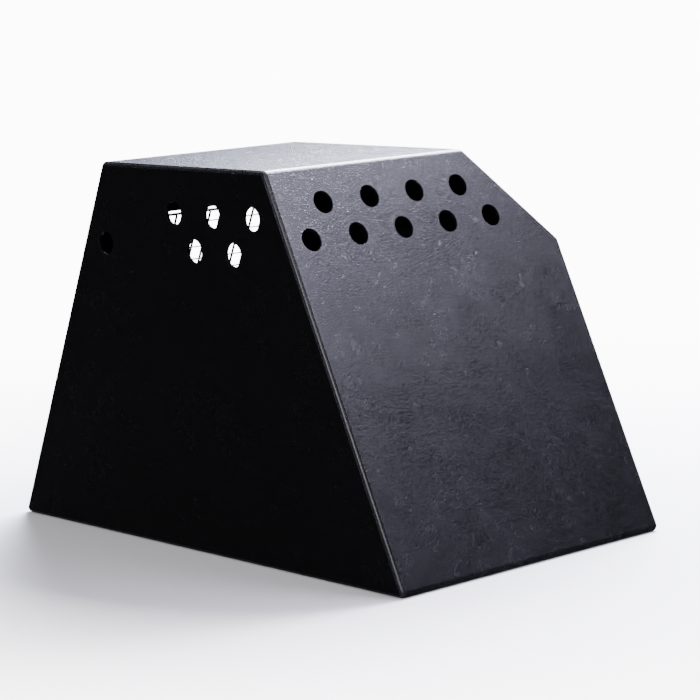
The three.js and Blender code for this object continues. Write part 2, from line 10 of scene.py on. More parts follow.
import bmesh
import bpy
from mathutils import Matrix, Vector, noise


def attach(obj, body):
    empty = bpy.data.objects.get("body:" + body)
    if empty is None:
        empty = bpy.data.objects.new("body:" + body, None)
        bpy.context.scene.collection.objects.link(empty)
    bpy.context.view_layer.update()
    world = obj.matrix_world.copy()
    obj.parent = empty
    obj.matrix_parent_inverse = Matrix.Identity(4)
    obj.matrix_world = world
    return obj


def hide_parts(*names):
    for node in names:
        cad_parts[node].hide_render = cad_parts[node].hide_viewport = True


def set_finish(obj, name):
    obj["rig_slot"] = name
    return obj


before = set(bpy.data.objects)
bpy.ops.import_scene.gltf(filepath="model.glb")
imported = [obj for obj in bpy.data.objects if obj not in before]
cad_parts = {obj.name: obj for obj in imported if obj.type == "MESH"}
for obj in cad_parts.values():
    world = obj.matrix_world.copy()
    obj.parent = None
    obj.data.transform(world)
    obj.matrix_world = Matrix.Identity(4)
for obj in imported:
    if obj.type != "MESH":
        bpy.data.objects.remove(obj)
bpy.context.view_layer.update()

# %% [markdown]
# ## Camera
# A long lens from far away keeps the box's edges nearly parallel. The camera is placed by a position and three
# directions: across the view, down it, and along the line of sight.

# %% Camera
LENS = 0.1323
SENSOR = 0.036
CAMERA_PLACE = Vector((3.312, -2.8898, 0.9935))
LINE_OF_SIGHT = Vector((-0.73756, 0.65709, -0.15572))
VIEW_DOWN = Vector((0.0895, -0.13345, -0.98701))


def add_camera():
    data = bpy.data.cameras.new("camera")
    data.lens = LENS * 1000
    data.sensor_width = SENSOR * 1000
    data.clip_end = 50
    camera = bpy.data.objects.new("camera", data)
    bpy.context.scene.collection.objects.link(camera)
    right = VIEW_DOWN.cross(LINE_OF_SIGHT).normalized()
    turn = Matrix((right, -VIEW_DOWN, -LINE_OF_SIGHT)).transposed()
    camera.matrix_world = Matrix.Translation(CAMERA_PLACE) @ turn.to_4x4()
    bpy.context.scene.camera = camera
    print("camera", round((CAMERA_PLACE - Vector((0, 0, 0.3))).length, 2), "m away")


add_camera()

# %% [markdown]
# ## Sizes
# The box is a flat-topped wedge made of 6 mm sheet. These few sizes draw every outline below, and they are the
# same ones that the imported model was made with.

# %% Sizes of the box
LENGTH, WIDTH, HEIGHT = 1.006, 0.592, 0.646
CLOSED_END_LEAN, DOOR_END_LEAN = 0.291, 0.288
ROOF_WIDTH = 0.439
FAR_WALL_HEIGHT = 0.482
SHEET = 0.006
SHEET_BEND = 0.009
SLANT_BEND = 0.014
TRAY_LIP = 0.036
FIT = 0.0003
REACH = 0.04  # how far cutting tools run past what they cut

SLANT_RATE = (WIDTH - ROOF_WIDTH) / (HEIGHT - FAR_WALL_HEIGHT)
SIDE_VIEW = [
    (-LENGTH / 2, 0),
    (LENGTH / 2, 0),
    (LENGTH / 2 - CLOSED_END_LEAN, HEIGHT),
    (-LENGTH / 2 + DOOR_END_LEAN, HEIGHT),
]
for lean in (CLOSED_END_LEAN, DOOR_END_LEAN):
    print("an end leans", round(math.degrees(math.atan2(lean, HEIGHT)), 1), "degrees")

# %% [markdown]
# ## Helpers for making pieces
# Each piece starts as a bmesh and becomes one mesh object at the origin. It stands for one or more nodes of the
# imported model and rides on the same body. Big cut-outs are made with the Boolean modifier, applied at once.

# %% Objects from bmeshes


def object_of(bm, name):
    mesh = bpy.data.meshes.new(name)
    bm.to_mesh(mesh)
    bm.free()
    obj = bpy.data.objects.new(name, mesh)
    bpy.context.scene.collection.objects.link(obj)
    return obj


def bmesh_of(obj):
    bm = bmesh.new()
    bm.from_mesh(obj.data)
    return bm


def applied(obj):
    """The same object with its modifiers baked into its mesh."""
    graph = bpy.context.evaluated_depsgraph_get()
    mesh = bpy.data.meshes.new_from_object(obj.evaluated_get(graph))
    obj.modifiers.clear()
    old, obj.data = obj.data, mesh
    bpy.data.meshes.remove(old)
    return obj


def boolean(obj, tool, operation):
    step = obj.modifiers.new(operation, "BOOLEAN")
    step.operation = operation
    step.object = tool
    step.solver = "EXACT"
    applied(obj)
    bpy.data.objects.remove(tool)
    return obj


# %% [markdown]
# ## Cut edges
# Nothing real has a perfectly sharp edge. A small bevel on each one catches a thin line of light, and its faces
# are marked so that a finish can colour them: wear on the steel, and on the black sheet a lighter colour that is
# partly scraped cut edge and partly a painted highlight. Weighted normals keep the flat faces flat beside the bevels.

# %% Bevel the sharp edges


def bevelled_edges(obj, width, segments=2, sharper_than=35, leave=lambda edge: False):
    bm = bmesh_of(obj)
    arris_faces = bm.faces.layers.float.new("arris_faces")
    bmesh.ops.remove_doubles(bm, verts=bm.verts, dist=1e-6)
    limit = math.radians(sharper_than)
    sharp = [e for e in bm.edges if len(e.link_faces) == 2 and e.calc_face_angle(0) > limit and not leave(e)]
    made = bmesh.ops.bevel(
        bm, geom=sharp, offset=width, offset_type="OFFSET", segments=segments, affect="EDGES", profile=0.5,
        material=-1, clamp_overlap=True,
    )
    for face in made["faces"]:
        face[arris_faces] = 1
    bm.to_mesh(obj.data)
    bm.free()
    return smooth(obj)


def smooth(obj, sharper_than=40):
    obj.data.polygons.foreach_set("use_smooth", [True] * len(obj.data.polygons))
    obj.data.set_sharp_from_angle(angle=math.radians(sharper_than))
    flat = obj.modifiers.new("flat faces", "WEIGHTED_NORMAL")
    flat.keep_sharp = True
    return applied(obj)


def stand_for(obj, body, material_slot, *nodes):
    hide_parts(*nodes)
    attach(obj, body)
    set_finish(obj, material_slot)
    print(obj.name, len(obj.data.polygons), "faces")
    return obj


# %% [markdown]
# ## Outlines
# A sheet-metal worker draws an outline, rounds its corners and folds it. Here each corner starts as one vertex
# that is spun about the corner's centre. The arcs are joined with edges, filled with a face and extruded.
# Drawing an outline in by a distance moves each edge inwards.

# %% Outlines and prisms
BEND_STEPS = 10


def drawn_in(outline, distances):
    lines = []
    for i, start in enumerate(outline):
        start = Vector(start)
        along = (Vector(outline[(i + 1) % len(outline)]) - start).normalized()
        lines.append((start + Vector((-along.y, along.x)) * distances[i], along))
    points = []
    for i, (start, along) in enumerate(lines):
        before, along_before = lines[i - 1]
        run = (start - before).cross(along) / along_before.cross(along)
        points.append(before + along_before * run)
    return points


def corner_arc(outline, i, radius):
    """A rounded corner's centre and first point, and the angle that it turns through."""
    corner = Vector(outline[i])
    back = (Vector(outline[i - 1]) - corner).normalized()
    on = (Vector(outline[(i + 1) % len(outline)]) - corner).normalized()
    half = back.angle(on) / 2
    centre = corner + (back + on).normalized() * radius / math.sin(half)
    return centre, corner + back * radius / math.tan(half), math.pi - 2 * half


def prism(outline, radius, low, high, matrix=Matrix(), steps=BEND_STEPS):
    """The outline in the XY plane with rounded corners, extruded from low to high in Z, and then placed."""
    bm = bmesh.new()
    arcs = []
    for i in range(len(outline)):
        centre, start, turn = corner_arc(outline, i, radius)
        first = last = bm.verts.new((*start, low))
        if radius > 0:
            spun = bmesh.ops.spin(
                bm, geom=[first], cent=(*centre, low), axis=(0, 0, 1), angle=turn, steps=steps, use_merge=False,
            )
            last = next(v for v in spun["geom_last"] if isinstance(v, bmesh.types.BMVert))
        arcs.append((first, last))
    for i, (first, _) in enumerate(arcs):
        bm.edges.new((arcs[i - 1][1], first))
    bmesh.ops.contextual_create(bm, geom=bm.edges[:])
    made = bmesh.ops.extrude_face_region(bm, geom=bm.faces[:])
    raised = [v for v in made["geom"] if isinstance(v, bmesh.types.BMVert)]
    bmesh.ops.translate(bm, verts=raised, vec=(0, 0, high - low))
    bmesh.ops.transform(bm, matrix=matrix, verts=bm.verts)
    bmesh.ops.recalc_face_normals(bm, faces=bm.faces)
    return object_of(bm, "prism")


ALONG_Y = Matrix(((1, 0, 0, 0), (0, 0, -1, 0), (0, 1, 0, 0), (0, 0, 0, 1)))  # an XZ outline, Z running to -Y
ALONG_X = Matrix(((0, 0, 1, 0), (1, 0, 0, 0), (0, 1, 0, 0), (0, 0, 0, 1)))  # a YZ outline, Z running to +X


def side_prism(inwards, radius, low, high):
    outline = drawn_in(SIDE_VIEW, [inwards] * len(SIDE_VIEW))
    return prism(outline, radius, -high, -low, ALONG_Y)


def far_edge(height):
    return WIDTH / 2 - max(0, height - FAR_WALL_HEIGHT) * SLANT_RATE


def between_sides(inwards):
    top = HEIGHT + REACH
    end_view = [
        (-WIDTH / 2, -REACH),
        (WIDTH / 2, -REACH),
        (WIDTH / 2, FAR_WALL_HEIGHT),
        (far_edge(top), top),
        (-WIDTH / 2, top),
    ]
    outline = drawn_in(end_view, [0, inwards, inwards, 0, inwards])
    return prism(outline, SLANT_BEND - inwards, -LENGTH / 2 - REACH, LENGTH / 2 + REACH, ALONG_X)


# %% [markdown]
# ## The planes of the two ends
# Vents and the door are laid out on the sloping ends, so each end gets a matrix: X across, Y up the slope and
# Z out of the sheet's outer face.

# %% End planes


def end_plane(foot, lean, outwards):
    length = math.hypot(lean, HEIGHT)
    up = Vector((-outwards * lean, 0, HEIGHT)) / length
    out = Vector((outwards * HEIGHT, 0, lean)) / length
    across = Vector((0, outwards, 0))
    matrix = Matrix((across, up, out)).transposed().to_4x4()
    return Matrix.Translation((foot, 0, 0)) @ matrix, length


CLOSED_END, closed_length = end_plane(LENGTH / 2, CLOSED_END_LEAN, 1)
DOOR_END, door_length = end_plane(-LENGTH / 2, DOOR_END_LEAN, -1)

# %% Vents
VENT_RADIUS = 0.0195
VENT_PITCH = 0.1
VENT_SIDES = 64
END_VENTS = [(0.062, 0.101, 4), (0.1215, 0.052, 5)]  # down from the roof, first from the near edge, how many
SIDE_VENTS = [(0.078, 0.325, 3), (0.138, 0.375, 2), (0.138, 0.715, 1)]  # the first from the closed end's foot


def vent_tool(matrix, radius=VENT_RADIUS):
    bm = bmesh.new()
    bmesh.ops.create_cone(
        bm, cap_ends=True, segments=VENT_SIDES, radius1=radius, radius2=radius, depth=2 * REACH, matrix=matrix,
    )
    return object_of(bm, "tool")


def end_vent_tools():
    for down, first, count in END_VENTS:
        for i in range(count):
            place = Matrix.Translation((first + i * VENT_PITCH - WIDTH / 2, closed_length - down, 0))
            yield vent_tool(CLOSED_END @ place)


def side_vent_tools():
    for down, first, count in SIDE_VENTS:
        for i in range(count):
            x = LENGTH / 2 - first - i * VENT_PITCH
            yield vent_tool(Matrix.Translation((x, -WIDTH / 2, HEIGHT - down)) @ Matrix.Rotation(math.pi / 2, 4, "X"))


# %% [markdown]
# ## The door opening
# The opening and everything in it come from the door's wire grid: a one-inch mesh with as many whole cells as
# fit, cut so that the same margin is left to the frame on all sides.

# %% Door layout
HEADER = 0.1106
SMALLEST_SILL = 0.055
NEAR_JAMB = 0.0635
SMALLEST_FAR_JAMB = 0.036
OPENING_CORNER = 0.016
DOOR_GAP = 0.006
FRAME_WIRE = 0.005
FRAME_BEND = 0.012
MESH_PITCH = 0.0254
MESH_MARGIN = 0.0195
UPRIGHT_WIRE = 0.004
CROSS_WIRE = 0.0025
WELD_SINK = 0.0003
HARDWARE_CELLS = 3

opening_top = door_length - HEADER
opening_right = WIDTH / 2 - NEAR_JAMB
rise = HEIGHT / door_length
widest = opening_right + far_edge(opening_top * rise) - SMALLEST_FAR_JAMB
edges = 2 * (DOOR_GAP + MESH_MARGIN) + FRAME_WIRE
columns = int((widest - edges) / MESH_PITCH)
rows = int((opening_top - SMALLEST_SILL - edges) / MESH_PITCH)
frame_right = opening_right - DOOR_GAP - FRAME_WIRE / 2
frame_top = opening_top - DOOR_GAP - FRAME_WIRE / 2
frame_left = frame_right - columns * MESH_PITCH - 2 * MESH_MARGIN
frame_bottom = frame_top - rows * MESH_PITCH - 2 * MESH_MARGIN
frame_depth = -SHEET / 2
opening_left = frame_left - FRAME_WIRE / 2 - DOOR_GAP
opening_bottom = frame_bottom - FRAME_WIRE / 2 - DOOR_GAP
LEVELS = {
    "lower": frame_bottom + MESH_MARGIN + (HARDWARE_CELLS - 0.5) * MESH_PITCH,
    "upper": frame_top - MESH_MARGIN - (HARDWARE_CELLS - 0.5) * MESH_PITCH,
}
print("door grid", columns, "by", rows, "cells")

# %% Sheets


def ring():
    outside = side_prism(0, SHEET_BEND, -WIDTH / 2 - REACH, WIDTH / 2 + REACH)
    inside = side_prism(SHEET, SHEET_BEND - SHEET, -WIDTH / 2 - 2 * REACH, WIDTH / 2 + 2 * REACH)
    boolean(outside, inside, "DIFFERENCE")
    return boolean(outside, between_sides(SHEET + FIT), "INTERSECT")


def slab(low, high):
    bm = bmesh.new()
    size = Matrix.Diagonal((LENGTH + 4 * REACH, WIDTH + 4 * REACH, high - low, 1))
    bmesh.ops.create_cube(bm, size=1, matrix=Matrix.Translation((0, 0, (low + high) / 2)) @ size)
    return object_of(bm, "slab")


def opening_tool():
    corners = [
        (opening_left, opening_bottom), (opening_right, opening_bottom),
        (opening_right, opening_top), (opening_left, opening_top),
    ]
    return prism(corners, OPENING_CORNER, -REACH, REACH, DOOR_END)


ARRIS = 0.0011


def tray_joint(edge):
    """The fine joint between the tray's lips and the sheet above keeps its edges crisp."""
    return all(abs(v.co.z - TRAY_LIP) < 2 * FIT for v in edge.verts)


def make_sheets():
    upper = boolean(ring(), slab(TRAY_LIP + FIT / 2, HEIGHT + REACH), "INTERSECT")
    for tool in [opening_tool(), *end_vent_tools()]:
        boolean(upper, tool, "DIFFERENCE")
    upper.name = "bent_end_and_roof_sheet"
    tray = boolean(ring(), slab(-REACH, TRAY_LIP), "INTERSECT")
    tray.name = "bent_floor_tray"
    stand_for(bevelled_edges(upper, ARRIS, leave=tray_joint), "box", "black_sheet", "end_and_roof_sheet")
    stand_for(bevelled_edges(tray, ARRIS, leave=tray_joint), "box", "black_sheet", "floor_tray")
    return upper, tray


def make_side_panels():
    both = side_prism(SHEET, SHEET_BEND - SHEET, -WIDTH / 2 - REACH, WIDTH / 2 + REACH)
    boolean(both, between_sides(0), "INTERSECT")
    boolean(both, between_sides(SHEET), "DIFFERENCE")
    panels = {}
    for side, sign in (("near", -1), ("far", 1)):
        bm = bmesh_of(both)
        bmesh.ops.bisect_plane(
            bm, geom=bm.verts[:] + bm.edges[:] + bm.faces[:], plane_co=(0, 0, 0), plane_no=(0, -sign, 0),
            clear_outer=True,
        )
        panels[side] = object_of(bm, side + "_panel_sheet")
    bpy.data.objects.remove(both)
    for tool in side_vent_tools():
        boolean(panels["near"], tool, "DIFFERENCE")
    for side, panel in panels.items():
        stand_for(bevelled_edges(panel, ARRIS), "box", "black_sheet", side + "_side_panel")
    return panels


sheets = [*make_sheets(), *make_side_panels().values()]

# %% [markdown]
# ## Welds
# The sheets are joined by hot-air welding: a softened plastic rod is pressed into the open corner and leaves a
# smooth rounded bead, a little uneven where the hand slowed down. The bead is a tube along the inner corner.
# Most of it is buried in the two sheets, and its round face fills the corner.

# %% Weld beads
BEAD_RADIUS = 0.0046
BEAD_STEP = 0.004
BEAD_RIPPLE = 0.00007
SLOW_RIPPLE, QUICK_RIPPLE = 25, 70  # waves to the metre
CORNER_STEPS = 6


def tube(points, radius, name, closed=True, sides=16):
    data = bpy.data.curves.new(name, "CURVE")
    data.dimensions = "3D"
    spline = data.splines.new("POLY")
    spline.points.add(len(points) - 1)
    for place, point in zip(spline.points, points):
        place.co = (*point, 1)
    spline.use_cyclic_u = closed
    data.bevel_depth = radius
    data.bevel_resolution = sides // 4 - 1
    data.use_fill_caps = not closed
    curve = bpy.data.objects.new(name, data)
    bpy.context.scene.collection.objects.link(curve)
    graph = bpy.context.evaluated_depsgraph_get()
    mesh = bpy.data.meshes.new_from_object(curve.evaluated_get(graph))
    bpy.data.objects.remove(curve)
    obj = bpy.data.objects.new(name, mesh)
    bpy.context.scene.collection.objects.link(obj)
    bm = bmesh.new()
    bm.from_mesh(mesh)
    bmesh.ops.remove_doubles(bm, verts=bm.verts, dist=1e-6)
    bmesh.ops.recalc_face_normals(bm, faces=bm.faces)
    bm.to_mesh(mesh)
    bm.free()
    return obj


def rounded_path(corners, radius, step):
    """Points along a closed path with rounded corners, no further apart than step."""
    path = []
    for i, corner in enumerate(corners):
        back = (corners[i - 1] - corner).normalized()
        on = (corners[(i + 1) % len(corners)] - corner).normalized()
        half = back.angle(on) / 2
        run = radius / math.tan(half)
        centre = corner + (back + on).normalized() * radius / math.sin(half)
        start = (corner + back * run - centre).normalized()
        end = (corner + on * run - centre).normalized()
        path += [centre + start.slerp(end, k / CORNER_STEPS) * radius for k in range(CORNER_STEPS + 1)]
    full = []
    for i, point in enumerate(path):
        after = path[(i + 1) % len(path)]
        pieces = max(1, round((after - point).length / step))
        full += [point.lerp(after, k / pieces) for k in range(pieces)]
    return full


def bead(side):
    x0, x1 = -LENGTH / 2, LENGTH / 2
    inner = drawn_in(SIDE_VIEW, [SHEET] * len(SIDE_VIEW))
    if side == "near":
        corners = [Vector((x, -WIDTH / 2 + SHEET, z)) for x, z in inner]
    else:
        lean = math.hypot(1, SLANT_RATE)
        bend = FAR_WALL_HEIGHT - SHEET * (lean - 1) / SLANT_RATE
        across = lambda z: WIDTH / 2 - SHEET - max(0, z - bend) * SLANT_RATE
        at = lambda a, b, z: a[0] + (b[0] - a[0]) * (z - a[1]) / (b[1] - a[1])
        corners = [
            Vector((inner[0][0], across(inner[0][1]), inner[0][1])),
            Vector((inner[1][0], across(inner[1][1]), inner[1][1])),
            Vector((at(inner[1], inner[2], bend), across(bend), bend)),
            Vector((inner[2][0], across(inner[2][1]), inner[2][1])),
            Vector((inner[3][0], across(inner[3][1]), inner[3][1])),
            Vector((at(inner[0], inner[3], bend), across(bend), bend)),
        ]
    path = rounded_path(corners, SHEET_BEND - SHEET, BEAD_STEP)
    obj = tube(path, BEAD_RADIUS, side + "_weld_bead", sides=24)
    bm = bmesh_of(obj)
    bm.normal_update()
    for vert in bm.verts:
        ripple = noise.noise(vert.co * SLOW_RIPPLE) + 0.5 * noise.noise(vert.co * QUICK_RIPPLE)
        vert.co += vert.normal * (ripple * BEAD_RIPPLE)
    bm.to_mesh(obj.data)
    bm.free()
    smooth(obj)
    return stand_for(obj, "box", "weld_rod", side + "_side_weld")


beads = [bead("near"), bead("far")]

# %% [markdown]
# ## The wire door
# The door is a frame of 5 mm wire bent to a rectangle, with 4 mm uprights and 2.5 mm cross wires welded in a
# one-inch grid. Resistance welding squashes the wires a little where they cross, so a small flattened bead of
# metal sits at each crossing. The wires are drawn with cones of equal ends, which keeps them light to repeat.

# %% Door frame and mesh
WIRE_SIDES = 14
CROSS_DEPTH = frame_depth - FRAME_WIRE / 2 - FIT - CROSS_WIRE / 2
UPRIGHT_DEPTH = CROSS_DEPTH + CROSS_WIRE / 2 + UPRIGHT_WIRE / 2 - WELD_SINK

WIRE_CHAMFER = 0.0006
SPOT_RADIUS = 0.0026
SPOT_SHAPE = (1, 0.85, 0.45, 1)
SPOT_INSET = 0.001  # from the frame wire's middle, where the cross wires end


def rod(bm, start, end, radius, sides=WIRE_SIDES, chamfer=0.0):
    """A round bar between two points; a chamfer rounds its ends."""
    start, end = Vector(start), Vector(end)
    turn = (end - start).to_track_quat("Z", "Y").to_matrix().to_4x4()
    made = bmesh.ops.create_cone(
        bm, cap_ends=True, segments=sides, radius1=radius, radius2=radius, depth=(end - start).length,
        matrix=Matrix.Translation((start + end) / 2) @ turn,
    )
    if chamfer:
        faces = {f for v in made["verts"] for f in v.link_faces if len(f.verts) == sides}
        bmesh.ops.bevel(
            bm, geom=[e for f in faces for e in f.edges], offset=chamfer, offset_type="OFFSET", segments=2,
            affect="EDGES", profile=0.5, material=-1,
        )


def make_door_frame():
    corners = [
        Vector((frame_left, frame_bottom, frame_depth)), Vector((frame_right, frame_bottom, frame_depth)),
        Vector((frame_right, frame_top, frame_depth)), Vector((frame_left, frame_top, frame_depth)),
    ]
    path = [DOOR_END @ point for point in rounded_path(corners, FRAME_BEND, 0.05)]
    obj = tube(path, FRAME_WIRE / 2, "bent_door_frame_wire", sides=20)
    return stand_for(smooth(obj), "door", "black_wire", "door_frame")


def make_door_mesh():
    bm = bmesh.new()
    across = [frame_left + MESH_MARGIN + i * MESH_PITCH for i in range(columns + 1)]
    up = [frame_bottom + MESH_MARGIN + i * MESH_PITCH for i in range(rows + 1)]
    end = FRAME_WIRE / 2 + FIT
    for x in across:
        rod(bm, (x, frame_bottom + end, UPRIGHT_DEPTH), (x, frame_top - end, UPRIGHT_DEPTH), UPRIGHT_WIRE / 2)
    for y in up:
        ends = (frame_left, y, CROSS_DEPTH), (frame_right, y, CROSS_DEPTH)
        rod(bm, *ends, CROSS_WIRE / 2, sides=12, chamfer=WIRE_CHAMFER)
    weld_depth = CROSS_DEPTH + CROSS_WIRE / 2 - WELD_SINK / 2
    places = [(x, y, weld_depth) for x in across for y in up]
    places += [(x, y, weld_depth) for x in (frame_left + SPOT_INSET, frame_right - SPOT_INSET) for y in up]
    for place in places:
        squash = Matrix.Translation(place) @ Matrix.Diagonal(SPOT_SHAPE)
        bmesh.ops.create_icosphere(bm, subdivisions=1, radius=SPOT_RADIUS, matrix=squash)
    bmesh.ops.transform(bm, matrix=DOOR_END, verts=bm.verts)
    obj = smooth(object_of(bm, "welded_wire_mesh"), 60)
    return stand_for(obj, "door", "black_wire", "door_mesh")


wires = [make_door_frame(), make_door_mesh()]

# %% [markdown]
# ## Bent straps
# The hinge straps and the keepers are strips of zinc-plated steel, bent in a press, and the door stops are flat
# tabs of the same steel. A strip starts as one rectangle and is extruded where it is straight and spun where it is
# bent.

# %% A strip of steel
STRAP_THICKNESS = 0.0015
STRAP_WIDTH = 0.016
STRAP_REACH = 0.03
PLATE_THICKNESS = 0.002
BOLT_DIAMETER = 0.006
BOLT_STROKE = 0.024
BOLT_HEIGHT = 0.0055
TIP_SETBACK = 0.001
BOLT_PAST_KEEPER = 0.003
KEEPER_SETBACK = 0.006
KEEPER_HEIGHT = 0.04
KEEPER_PLAY = 0.0008
KEEPER_RIVET_OFFSET = 0.014
KEEPER_BEND = 0.0006  # inner radius where the feet turn up
STOP_MARGIN = 0.004
STOP_TONGUE_WIDTH = 0.016
STOP_CORNER, TONGUE_CORNER = 0.002, 0.003
PLATE_MARGIN = 0.002
STRAP_RIVETS = (0.009, 0.021)
STEEL_ARRIS = 0.0003

keeper_width = BOLT_STROKE - TIP_SETBACK - BOLT_PAST_KEEPER - KEEPER_SETBACK
keeper_middle = opening_right + KEEPER_SETBACK + keeper_width / 2


def strip(corners, moves, name):
    """A rectangle from four corners, taken along moves: a vector, or an axis point, axis and angle."""
    bm = bmesh.new()
    face = bm.faces.new([bm.verts.new(corner) for corner in corners])
    for move in moves:
        if isinstance(move, Vector):
            made = bmesh.ops.extrude_face_region(bm, geom=[face])["geom"]
            bmesh.ops.translate(bm, verts=[g for g in made if isinstance(g, bmesh.types.BMVert)], vec=move)
            new = [g for g in made if isinstance(g, bmesh.types.BMFace)]
        else:
            centre, axis, angle = move
            made = bmesh.ops.spin(bm, geom=[face], cent=centre, axis=axis, angle=angle, steps=12, use_merge=False)
            new = [g for g in made["geom_last"] if isinstance(g, bmesh.types.BMFace)]
        face = new[0]
    bmesh.ops.remove_doubles(bm, verts=bm.verts, dist=1e-6)
    inside = [face for face in bm.faces if all(len(edge.link_faces) > 2 for edge in face.edges)]
    bmesh.ops.delete(bm, geom=inside, context="FACES_ONLY")
    bmesh.ops.recalc_face_normals(bm, faces=bm.faces)
    return object_of(bm, name)


def make_hinge_strap(level, height):
    inner = SHEET / 2 + FIT
    end = opening_left - STRAP_REACH
    low, high = height - STRAP_WIDTH / 2, height + STRAP_WIDTH / 2
    top, bottom = frame_depth + inner, frame_depth + inner + STRAP_THICKNESS
    corners = [(end, low, bottom), (end, high, bottom), (end, high, top), (end, low, top)]
    leaf = Vector((frame_left - end, 0, 0))
    fold = ((frame_left, 0, frame_depth), (0, 1, 0), math.pi)
    obj = strip(corners, [leaf, fold, -leaf], level + "_folded_hinge_strap")
    obj.data.transform(DOOR_END)
    return stand_for(bevelled_edges(obj, STEEL_ARRIS), "box", "zinc_steel", level + "_hinge_strap")


def make_keeper(level, height):
    arch = BOLT_DIAMETER / 2 + KEEPER_PLAY
    x0, x1 = keeper_middle - keeper_width / 2, keeper_middle + keeper_width / 2
    bend = KEEPER_BEND
    z0, z1 = FIT, FIT + PLATE_THICKNESS
    y0 = height - KEEPER_HEIGHT / 2
    corners = [(x0, y0, z0), (x1, y0, z0), (x1, y0, z1), (x0, y0, z1)]
    foot = Vector((0, KEEPER_HEIGHT / 2 - arch - PLATE_THICKNESS - bend, 0))
    wall = Vector((0, 0, BOLT_HEIGHT - z1 - bend))
    left = (x0, height - arch - PLATE_THICKNESS - bend, z1 + bend)
    right = (x0, height + arch + PLATE_THICKNESS + bend, z1 + bend)
    quarter = math.pi / 2
    moves = [
        foot, (left, (1, 0, 0), quarter), wall, ((x0, height, BOLT_HEIGHT), (1, 0, 0), -math.pi), -wall,
        (right, (1, 0, 0), quarter), foot,
    ]
    obj = strip(corners, moves, level + "_pressed_keeper")
    obj.data.transform(DOOR_END)
    return stand_for(bevelled_edges(obj, STEEL_ARRIS), "box", "zinc_steel", level + "_keeper")


def rectangle(x0, x1, y0, y1):
    return [(x0, y0), (x1, y0), (x1, y1), (x0, y1)]


def make_door_stop(level, height):
    top = -SHEET - FIT
    bottom = top - PLATE_THICKNESS
    right = keeper_middle + keeper_width / 2 + PLATE_MARGIN
    base = rectangle(opening_right + STOP_MARGIN, right, height - KEEPER_HEIGHT / 2, height + KEEPER_HEIGHT / 2)
    half = STOP_TONGUE_WIDTH / 2
    tongue = rectangle(frame_right - FRAME_WIRE / 2, right - PLATE_MARGIN, height - half, height + half)
    obj = boolean(prism(base, STOP_CORNER, bottom, top), prism(tongue, TONGUE_CORNER, bottom, top), "UNION")
    obj.name = level + "_door_stop_tab"
    obj.data.transform(DOOR_END)
    return stand_for(bevelled_edges(obj, STEEL_ARRIS), "box", "zinc_steel", level + "_door_stop")


# %% [markdown]
# ## Turned pieces
# Rivets, screws and bolts are turned on a lathe or pressed round, so their profiles are spun about an axis.

# %% Lathe
TURN_STEPS = 28


def turned(bm, profile, place, steps=TURN_STEPS):
    """Spins a profile of (radius, height) pairs about Z; a matrix puts it in place."""
    start = [bm.verts.new((radius, 0, height)) for radius, height in profile]
    edges = [bm.edges.new(pair) for pair in zip(start, start[1:])]
    spun = bmesh.ops.spin(
        bm, geom=start + edges, cent=(0, 0, 0), axis=(0, 0, 1), angle=2 * math.pi, steps=steps, use_merge=True,
    )
    bm.verts.index_update()
    mine = {v for v in bm.verts if v.link_edges and not v.tag}
    bmesh.ops.transform(bm, matrix=place, verts=list(mine))
    for vert in mine:
        vert.tag = True
    return spun


def finished(bm, name, sharper_than=40):
    bmesh.ops.remove_doubles(bm, verts=bm.verts, dist=1e-6)
    bmesh.ops.recalc_face_normals(bm, faces=bm.faces)
    bmesh.ops.transform(bm, matrix=DOOR_END, verts=bm.verts)
    return smooth(object_of(bm, name), sharper_than)


def dome(radius, low, height, steps=6):
    """A domed head's profile, from its rim up to its middle."""
    return [
        (radius * math.cos(i / steps * math.pi / 2), low + height * math.sin(i / steps * math.pi / 2))
        for i in range(steps)
    ] + [(0, low + height)]


RIVET_SHANK, RIVET_HEAD, RIVET_TAIL = 0.002, 0.0045, 0.0032
RIVET_HEAD_HEIGHT, RIVET_TAIL_HEIGHT = 0.0024, 0.0018
HEAD_RIM = 0.0004


def rivet_profile(head_seat, tail_seat):
    tail = [(radius, tail_seat - (z - tail_seat)) for radius, z in dome(RIVET_TAIL, tail_seat, RIVET_TAIL_HEIGHT)]
    head = [(RIVET_HEAD, head_seat), *dome(RIVET_HEAD, head_seat + HEAD_RIM, RIVET_HEAD_HEIGHT - HEAD_RIM)]
    return [*reversed(tail), (RIVET_SHANK, tail_seat), (RIVET_SHANK, head_seat), *head]


def make_rivets(level, name, places, head_seat, tail_seat):
    for i, (x, y) in enumerate(places, 1):
        bm = bmesh.new()
        turned(bm, rivet_profile(head_seat, tail_seat), Matrix.Translation((x, y, 0)))
        obj = finished(bm, f"{level}_{name}_blind_rivet_{i}")
        stand_for(obj, "box", "aluminium", f"{level}_{name}_rivet_{i}")
        yield obj


def make_jamb_hardware():
    for level, height in LEVELS.items():
        yield make_hinge_strap(level, height)
        yield make_keeper(level, height)
        yield make_door_stop(level, height)
        hinge = [(opening_left - distance, height) for distance in STRAP_RIVETS]
        leaf = SHEET / 2 + 2 * FIT + STRAP_THICKNESS
        yield from make_rivets(level, "hinge", hinge, frame_depth + leaf, frame_depth - leaf)
        keeper = [(keeper_middle, height + side * KEEPER_RIVET_OFFSET) for side in (-1, 1)]
        seat = 2 * FIT + PLATE_THICKNESS
        yield from make_rivets(level, "keeper", keeper, seat, -SHEET - seat)


jamb_hardware = list(make_jamb_hardware())

# %% [markdown]
# ## Slide bolts
# Each bolt is a 6 mm bar in two pressed guides on a plate, with an upright stem and a ball to push it by. Two
# screws clamp the plate and a backplate on the mesh between them. The bolts are drawn back, so the door is free.

